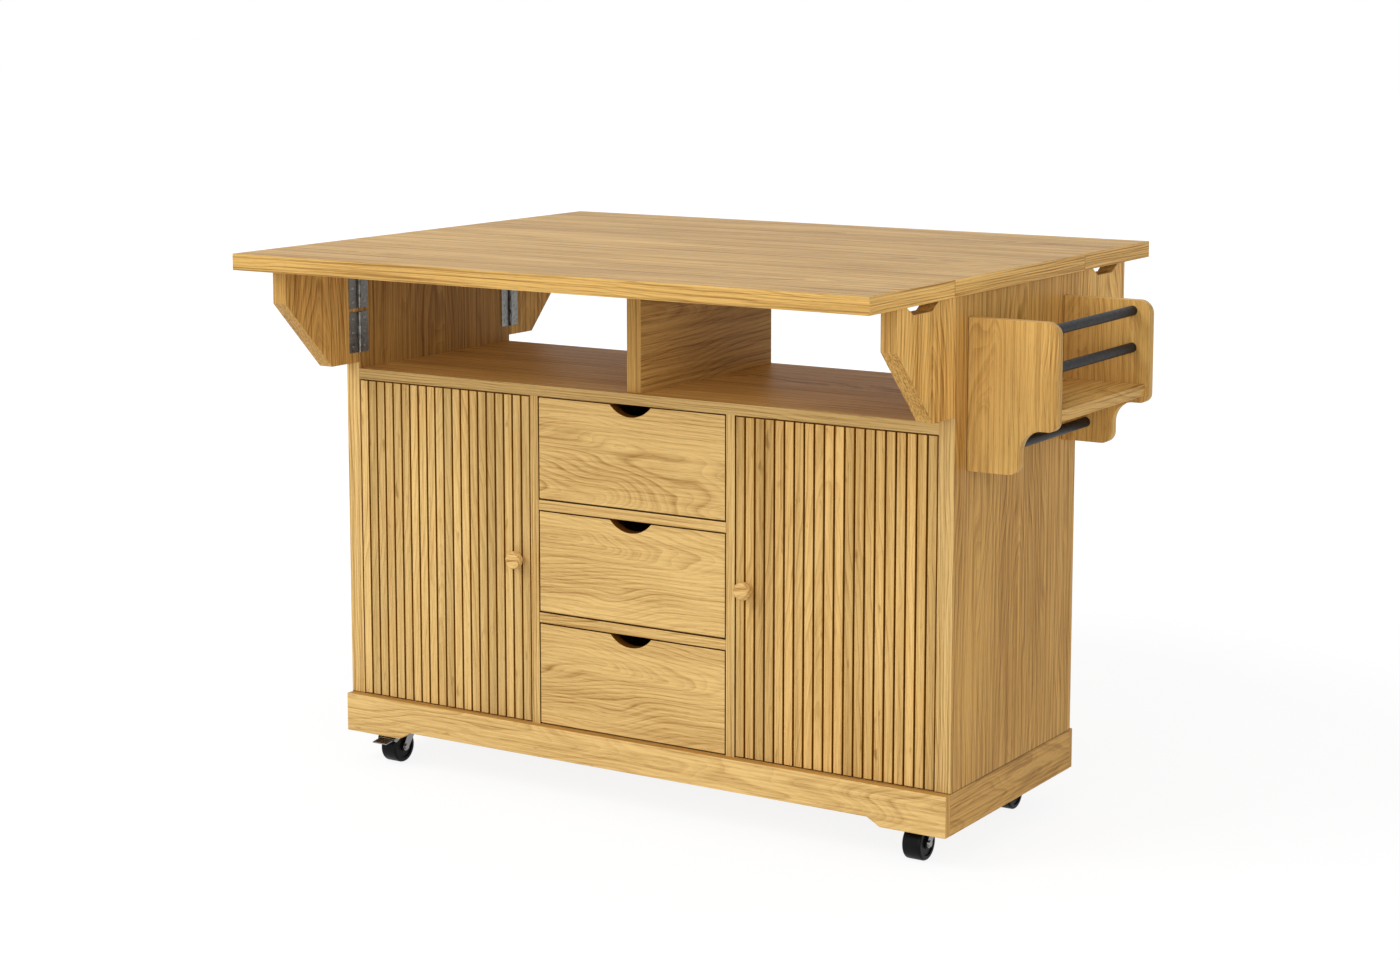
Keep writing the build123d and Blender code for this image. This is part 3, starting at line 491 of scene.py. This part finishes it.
class CART_OT_carcass(bpy.types.Operator):
    """Dress the side panels, shelves, dividers and back"""

    bl_idname = "kitchen_cart.carcass"
    bl_label = "Carcass"

    def execute(self, context):
        finish = context.scene.cart_finish
        sizes = context.scene.cart_sizes
        front = (tuple(finish.front_light), tuple(finish.front_dark))
        plinth_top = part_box("plinth_rails")[1].z
        # the side panels get painted shade: a dark line along the plinth's top, where they meet it
        panel = {"front": front, "fine": EDGE_FINE, "joint": (2, plinth_top), "rings": 75.0}
        # painted light and shade: the left panel's faces along X darker, for the compartment's shade, and its
        # front edge lighter; the right panel's outer face lighter and its front edge darker
        dress(context, "side", "ZZY", ["side_left"], shades=(0.85, 1.08, 1.0), **panel)
        dress(context, "side", "ZZY", ["side_right"], shades=(1.05, 0.95, 1.0), **panel)
        # painted shade on the dividers' and rails' edges in the gaps between the fronts
        reveal = (tuple(finish.reveal), "XZ", EASED, sizes.stain_reach)
        dress(context, "front", "ZZY", ["dividers"], fine=EDGE_FINE, gloss=0.05, stain=reveal)
        dress(context, "front", "YXX", ["drawer_rails"], fine=EDGE_FINE, gloss=0.05, stain=reveal)
        # painted light and shade on the shelf: its front edge darker, for the leaf's shadow, and its top
        # lighter
        dress(context, "front", "YXX", ["shelf_board"], fine=EDGE_FINE, gloss=0.05, shades=(1.0, 0.82, 1.30))
        dress(context, "honey", "YXX", ["bottom_panel", "back_panel", "cupboard_shelves"])
        # painted shade: the centre divider darker, for the shade inside the compartments
        dress(context, "honey", "YZY", ["centre_divider"], fine=EDGE_FINE, shades=(0.92, 0.86, 0.92))
        return {"FINISHED"}


class CART_OT_plinth(bpy.types.Operator):
    """Dress the plinth and the boards that carry the casters"""

    bl_idname = "kitchen_cart.plinth"
    bl_label = "Plinth"

    def execute(self, context):
        finish = context.scene.cart_finish
        front = (tuple(finish.front_light), tuple(finish.front_dark))
        # painted light: the plinth's front a little lighter
        dress(context, "side", "ZXX", ["plinth_rails"], front=front, flame=12.0, lines=0.60, streaks=0.40,
              flecks=0.6, shades=(1.0, 1.04, 1.0))
        dress(context, "side", "YZY", ["plinth_sides"], flame=12.0, flecks=0.6)
        dress(context, "honey", "YXX", ["caster_boards"])
        return {"FINISHED"}


class CART_OT_worktop(bpy.types.Operator):
    """Dress the worktop's middle board and its two leaves"""

    bl_idname = "kitchen_cart.worktop"
    bl_label = "Worktop"

    def execute(self, context):
        nodes = ["top_centre", "leaf_front", "leaf_back"]
        # painted light: the worktop's end edges lighter and its long edges a little darker
        dress(context, "top", "YXX", nodes, edge=0.0, tilt=0.05, streaks=0.75, fine=(1.8, 1.8, 1.0),
              sheen=0.42, shades=(1.32, 0.98, 1.0))
        return {"FINISHED"}


class CART_OT_doors(bpy.types.Operator):
    """Dress the slatted doors and their knobs"""

    bl_idname = "kitchen_cart.doors"
    bl_label = "Doors"

    def execute(self, context):
        finish = context.scene.cart_finish
        sizes = context.scene.cart_sizes
        for side, tone in (("left", "front"), ("right", "warm")):
            # the groove floor between the slats and the slats' sides: dark brown of the wood together with
            # painted shade
            dress(context, tone, "ZZX", ["door_" + side], gloss=0.04,
                  stain=(tuple(finish.groove), "Y", STEEP, sizes.stain_reach))
            low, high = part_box("slats_" + side)
            strips = (low.x, (high.x - low.x) / SLAT_PITCHES)
            dress(context, tone, "ZZX", ["slats_" + side], edge=sizes.slat_edge, strips=strips, flecks=1.5,
                  lines=0.6, streaks=0.35, gloss=0.05,
                  stain=(tuple(finish.slat_side), "XZ", EASED, high.y - low.y))
            dress(context, "front", "X", ["knob_" + side], edge=0.0, rings=220.0, shades=(1.12, 1.12, 1.12))
        return {"FINISHED"}


class CART_OT_drawers(bpy.types.Operator):
    """Dress the drawer fronts, boxes and runners"""

    bl_idname = "kitchen_cart.drawers"
    bl_label = "Drawers"

    def execute(self, context):
        finish = context.scene.cart_finish
        sizes = context.scene.cart_sizes
        runner = metal("runner_zinc", tuple(finish.zinc), rough=0.34, mottle=0.10)
        wear("runners", runner, sizes.metal_edge)
        for number in (1, 2, 3):
            # painted shade on the drawer fronts' edges in the gaps, and right through inside the cut-out
            dress(context, "front", "ZXX", [f"drawer_front_{number}"], edge=sizes.front_edge, rings=125.0,
                  tilt=0.16, flame=14.0, lines=0.72, streaks=0.34, gloss=0.06, grip=True,
                  stain=(tuple(finish.reveal), "XZ", EASED, sizes.stain_reach))
            dress(context, "raw", "YXY", [f"drawer_box_{number}"])
            wear(f"drawer_slides_{number}", runner, sizes.metal_edge)
        return {"FINISHED"}


class CART_OT_brackets(bpy.types.Operator):
    """Dress the leaf brackets"""

    bl_idname = "kitchen_cart.brackets"
    bl_label = "Leaf brackets"

    def execute(self, context):
        # painted light: the brackets' faces along X lighter, the right ones more, for the light from the
        # right
        for side, outer in (("left", 1.12), ("right", 1.32)):
            nodes = [f"bracket_{end}_{side}" for end, _ in ENDS]
            dress(context, "honey", "ZZY", nodes, fine=EDGE_FINE, streaks=0.65, shades=(outer, 1.0, 1.0))
        return {"FINISHED"}


def screw_heads(name, places, radius, rise, sides):
    """Low screw heads with a cross recess, in one mesh. Each place is a centre and an outward direction."""
    mesh = bmesh.new()
    slot = radius * 0.62
    slot_half = radius * 0.13
    sink = rise * 0.9
    for centre, out in places:
        turn = Vector((0, 0, 1)).rotation_difference(Vector(out)).to_matrix().to_4x4()
        to_place = Matrix.Translation(centre) @ turn
        rim = []
        for step in range(sides):
            angle = 2 * math.pi * step / sides
            rim.append((radius * math.cos(angle), radius * math.sin(angle)))
        rings = []
        for share, height in ((1.0, 0.0), (0.94, rise * 0.55), (0.78, rise)):
            ring = [mesh.verts.new(to_place @ Vector((x * share, y * share, height))) for x, y in rim]
            rings.append(ring)
        for lower, upper in zip(rings, rings[1:]):
            for step in range(sides):
                after = (step + 1) % sides
                mesh.faces.new((lower[step], lower[after], upper[after], upper[step]))
        cross = []
        for quarter in range(4):
            spin = Matrix.Rotation(math.pi / 2 * quarter, 4, "Z")
            for x, y in ((slot_half, -slot_half), (slot, -slot_half), (slot, slot_half)):
                cross.append(spin @ Vector((x, y, rise)))
        lip = [mesh.verts.new(to_place @ point) for point in cross]
        floor = [mesh.verts.new(to_place @ (point - Vector((0, 0, sink)))) for point in cross]
        for step in range(len(lip)):
            after = (step + 1) % len(lip)
            mesh.faces.new((lip[step], lip[after], floor[after], floor[step]))
        mesh.faces.new(floor)
        edges = []
        for loop in (rings[-1], lip):
            for step, vertex in enumerate(loop):
                edges.append(mesh.edges.get((vertex, loop[(step + 1) % len(loop)])))
        bmesh.ops.triangle_fill(mesh, use_beauty=True, edges=[edge for edge in edges if edge])
        mesh.faces.new(list(reversed(rings[0])))
    bmesh.ops.recalc_face_normals(mesh, faces=mesh.faces)
    data = bpy.data.meshes.new(name)
    mesh.to_mesh(data)
    mesh.free()
    piece = bpy.data.objects.new(name, data)
    bpy.context.scene.collection.objects.link(piece)
    return piece


class CART_OT_hinges(bpy.types.Operator):
    """Dress the butt hinges and add their screws"""

    bl_idname = "kitchen_cart.hinges"
    bl_label = "Hinges"

    def execute(self, context):
        finish = context.scene.cart_finish
        sizes = context.scene.cart_sizes
        steel = metal("hinge_steel", tuple(finish.hinge_steel), rough=0.40, mottle=0.45)
        nodes = ["leaf_hinges_fixed", "bracket_hinges_fixed"]
        nodes += [f"leaf_hinges_{end}" for end, _ in ENDS]
        nodes += [f"bracket_hinges_{end}_{side}" for end, _ in ENDS for side, _ in SIDES]
        for node in nodes:
            wear(node, steel, sizes.metal_edge)
        screw = metal("screw_steel", tuple(finish.screw), rough=0.34, mottle=0.25)
        fixed = []
        for side, sx in SIDES:
            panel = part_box("side_" + side)
            face = panel[0 if sx > 0 else 1].x - sx * sizes.hinge_sheet
            for end, sy in ENDS:
                moving = self.bracket_screws(sizes, f"bracket_hinges_{end}_{side}", face, sx, sy)
                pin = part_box(f"bracket_hinges_{end}_{side}")[0 if sy < 0 else 1].y - sy * sizes.hinge_wing
                fixed += [((x, 2 * pin - y, z), out) for (x, y, z), out in moving]
                self.add(sizes, f"hinge_screws_{end}_{side}", moving, f"{end}_{side}_bracket", screw)
        for end, sy in ENDS:
            moving = self.leaf_screws(sizes, "leaf_hinges_" + end, sy)
            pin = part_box("leaf_hinges_" + end)[0 if sy < 0 else 1].y - sy * sizes.leaf_wing
            fixed += [((x, 2 * pin - y, z), out) for (x, y, z), out in moving]
            self.add(sizes, "leaf_screws_" + end, moving, end + "_leaf", screw)
        self.add(sizes, "hinge_screws_fixed", fixed, "cabinet", screw)
        return {"FINISHED"}

    def bracket_screws(self, sizes, node, face, sx, sy):
        """Places and directions of the screws on a bracket's two hinge plates."""
        low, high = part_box(node)
        y = (low.y if sy < 0 else high.y) - sy * sizes.screw_inset
        middles = (low.z + sizes.hinge_length / 2, high.z - sizes.hinge_length / 2)
        steps = [step * sizes.screw_pitch for step in (-1, 0, 1)]
        return [((face, y, z + step), (-sx, 0, 0)) for z in middles for step in steps]

    def leaf_screws(self, sizes, node, sy):
        """Places and directions of the screws on a leaf's three hinge plates."""
        low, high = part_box(node)
        y = (low.y if sy < 0 else high.y) - sy * sizes.screw_inset
        z = high.z - sizes.hinge_sheet
        middles = (low.x + sizes.leaf_length / 2, (low.x + high.x) / 2, high.x - sizes.leaf_length / 2)
        steps = [step * sizes.screw_pitch / 2 for step in (-1, 1)]
        return [((x + step, y, z), (0, 0, -1)) for x in middles for step in steps]

    def add(self, sizes, name, places, body, steel):
        """Adds screws at those places, which move with a body."""
        piece = screw_heads(name, places, sizes.screw_radius, sizes.screw_rise, sizes.screw_sides)
        piece.data.materials.append(steel)
        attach(piece, body)


class CART_OT_rack(bpy.types.Operator):
    """Dress the rack's cheeks, shelf, guard rails and hanging bar"""

    bl_idname = "kitchen_cart.rack"
    bl_label = "Side rack"

    def execute(self, context):
        finish = context.scene.cart_finish
        sizes = context.scene.cart_sizes
        panel_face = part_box("rack_cheeks")[0].x
        # painted shade: the cheeks' front faces a little darker, and a dark line where they meet the side
        # panel
        dress(context, "honey", "ZZX", ["rack_cheeks"], edge=sizes.cheek_edge, segments=3, rings=130.0,
              flame=12.0, lines=0.70, streaks=0.45, fine=(1.7, 1.0, 1.0), shades=(1.0, 0.93, 1.0),
              joint=(0, panel_face))
        # painted light: the rack shelf's top a little lighter
        dress(context, "honey", "Y", ["rack_shelf"], shades=(1.0, 1.0, 1.1))
        coat = metal("rod_coat", tuple(finish.rod), rough=0.50, mottle=0.25, metallic=0.0, gloss=0.2)
        wear("rack_rods", coat, edge=0.0)
        return {"FINISHED"}


class CART_OT_casters(bpy.types.Operator):
    """Dress the casters, their brake levers and the hidden pins"""

    bl_idname = "kitchen_cart.casters"
    bl_label = "Casters and pins"

    def execute(self, context):
        finish = context.scene.cart_finish
        sizes = context.scene.cart_sizes
        zinc = metal("caster_zinc", tuple(finish.zinc), rough=0.28, mottle=0.12)
        black = wheel_black("wheel_black", tuple(finish.tyre))
        for node in ("caster_plates", "door_pins", "shelf_pins"):
            wear(node, zinc, sizes.metal_edge)
        for end, _ in ENDS:
            for side, _ in SIDES:
                wear(f"fork_{end}_{side}", zinc, sizes.metal_edge)
                wear(f"wheel_{end}_{side}", black, edge=0.0)
        for corner in ("front_left", "back_right"):
            wear("brake_" + corner, zinc, sizes.metal_edge)
        low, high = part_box("caster_plates")
        z = high.z - sizes.plate_sheet
        near, far = sizes.bolt_inset, sizes.plate_side - sizes.bolt_inset
        xs = (low.x + near, low.x + far, high.x - far, high.x - near)
        ys = (low.y + near, low.y + far, high.y - far, high.y - near)
        places = [((x, y, z), (0, 0, -1)) for x in xs for y in ys]
        bolts = screw_heads("caster_bolts", places, sizes.bolt_radius, sizes.screw_rise, sizes.screw_sides)
        bolts.data.materials.append(zinc)
        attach(bolts, "cabinet")
        return {"FINISHED"}


def area_light(name, place, target, size, power):
    """A round lamp of that size that shines from its place to the target."""
    data = bpy.data.lights.new(name, "AREA")
    data.shape = "DISK"
    data.size = size
    data.energy = power
    lamp = bpy.data.objects.new(name, data)
    lamp.location = place
    lamp.rotation_euler = (Vector(target) - Vector(place)).to_track_quat("-Z", "Y").to_euler()
    bpy.context.scene.collection.objects.link(lamp)


def seen_directly(tree):
    """Share 1 where the camera sees the background itself, or in a mirror or through glass."""
    path = tree.nodes.new("ShaderNodeLightPath").outputs
    seen = path["Is Camera Ray"]
    for ray in ("Is Glossy Ray", "Is Transmission Ray"):
        either = tree.nodes.new("ShaderNodeMath")
        either.operation = "MAXIMUM"
        tree.links.new(seen, either.inputs[0])
        tree.links.new(path[ray], either.inputs[1])
        seen = either.outputs[0]
    return seen


class CART_OT_studio(bpy.types.Operator):
    """Set up the floor, the lights, the world and the camera"""

    bl_idname = "kitchen_cart.studio"
    bl_label = "Studio"

    def execute(self, context):
        scene = context.scene
        studio = scene.cart_studio
        scene.view_settings.view_transform = "Standard"
        self.floor()
        self.world(scene, studio)
        area_light("key_light", (-2.4, -3.9, 4.4), (0.0, 0.0, 0.4), 3.2, studio.key_power)
        area_light("fill_light", (0.6, -5.2, 2.1), (0.0, 0.0, 0.5), 2.6, studio.fill_power)
        area_light("side_light", (3.9, -3.4, 1.5), (0.4, -0.2, 0.6), 2.4, studio.side_power)
        area_light("top_light", (0.3, -0.2, 4.2), (0.0, 0.0, 0.5), 3.0, studio.top_power)
        camera = bpy.data.objects.new("camera", bpy.data.cameras.new("camera"))
        camera.location = studio.camera_place
        camera.rotation_euler = (math.pi / 2 - studio.camera_pitch, 0.0, studio.camera_yaw)
        camera.data.lens = studio.camera_lens
        camera.data.shift_y = studio.camera_shift
        scene.collection.objects.link(camera)
        scene.camera = camera
        return {"FINISHED"}

    def floor(self):
        """A white floor that keeps the cart's shadow."""
        half = 30.0  # metres from the middle to each side
        data = bpy.data.meshes.new("studio_floor")
        corners = [(-half, -half, 0.0), (half, -half, 0.0), (half, half, 0.0), (-half, half, 0.0)]
        data.from_pydata(corners, [], [(0, 1, 2, 3)])
        floor = bpy.data.objects.new("studio_floor", data)
        bpy.context.scene.collection.objects.link(floor)
        shader = Shader("floor_white")
        seen = seen_directly(shader.tree)
        far = shader.vector("LENGTH", shader.place())
        glow = shader.remap(far, 1.2, 3.0, 0.88, 1.0)  # plain white away from the cart, less under it
        shader.surface.inputs["Specular IOR Level"].default_value = 0.0
        shader.surface.inputs["Emission Color"].default_value = rgba((1.0, 1.0, 1.0))
        shader.finish(
            Base_Color=shader.mix(seen, rgba((0.82, 0.82, 0.82)), rgba((0.15, 0.15, 0.15))),
            Emission_Strength=shader.math("MULTIPLY", seen, glow),
        )
        data.materials.append(shader.material)

    def world(self, scene, studio):
        """Soft light from all round, and a white background where the camera sees it."""
        world = bpy.data.worlds.new("studio")
        scene.world = world
        world.use_nodes = True
        tree = world.node_tree
        background = tree.nodes["Background"]
        background.inputs["Color"].default_value = rgba((1.0, 1.0, 1.0))
        strength = tree.nodes.new("ShaderNodeMapRange")
        tree.links.new(seen_directly(tree), strength.inputs["Value"])
        strength.inputs["To Min"].default_value = studio.world_light
        strength.inputs["To Max"].default_value = 1.0
        tree.links.new(strength.outputs[0], background.inputs["Strength"])


class CART_PT_panel(bpy.types.Panel):
    """Lists the cart's pieces and its finishes"""

    bl_idname = "CART_PT_panel"
    bl_label = "Kitchen Cart"
    bl_space_type = "VIEW_3D"
    bl_region_type = "UI"
    bl_category = "Kitchen Cart"

    def draw(self, context):
        for operator in OPERATORS:
            self.layout.operator(operator.bl_idname)
        for group in (context.scene.cart_finish, context.scene.cart_sizes, context.scene.cart_studio):
            box = self.layout.box()
            for name in group.__annotations__:
                box.prop(group, name)


GROUPS = (("cart_finish", CartFinish), ("cart_sizes", CartSizes), ("cart_studio", CartStudio))
OPERATORS = (
    CART_OT_carcass, CART_OT_plinth, CART_OT_worktop, CART_OT_doors, CART_OT_drawers, CART_OT_brackets,
    CART_OT_hinges, CART_OT_rack, CART_OT_casters, CART_OT_studio,
)


def register():
    for name, group in GROUPS:
        bpy.utils.register_class(group)
        setattr(bpy.types.Scene, name, PointerProperty(type=group))
    for shown in (*OPERATORS, CART_PT_panel):
        bpy.utils.register_class(shown)


def unregister():
    for shown in reversed((*OPERATORS, CART_PT_panel)):
        bpy.utils.unregister_class(shown)
    for name, group in reversed(GROUPS):
        delattr(bpy.types.Scene, name)
        bpy.utils.unregister_class(group)


def main():
    register()
    steps = bpy.ops.kitchen_cart
    steps.carcass()
    steps.plinth()
    steps.worktop()
    steps.doors()
    steps.drawers()
    steps.brackets()
    steps.hinges()
    steps.rack()
    steps.casters()
    steps.studio()


if __name__ == "__main__":
    main()
